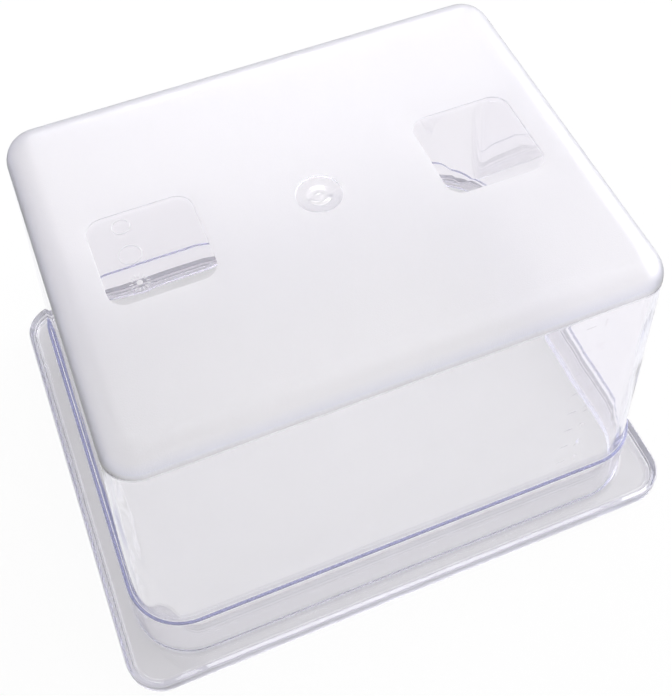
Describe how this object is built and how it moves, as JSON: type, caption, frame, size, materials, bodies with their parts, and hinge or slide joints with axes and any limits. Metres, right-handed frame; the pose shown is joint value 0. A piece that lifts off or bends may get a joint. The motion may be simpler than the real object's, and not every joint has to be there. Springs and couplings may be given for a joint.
{
  "type": "deli food pan",
  "caption": "Deep clear rectangular food pan with drafted walls, a stepped stacking collar and a flat turned rim, stored upside down on its rim.",
  "frame": {"origin": "centre of the rim's face, on the plane that the upturned pan stands on", "axes": "+X along the pan's long side, +Y along its short side, +Z out of its base: the pan is stored upside down, as pictured, and is turned over for use"},
  "size_m": [0.325, 0.265, 0.2],
  "materials": {
    "clear_polycarbonate": "clear, polished inside and out, with a fine frosted outer base"
  },
  "bodies": {
    "root": {"food_pan": "clear_polycarbonate"}
  },
  "joints": []
}
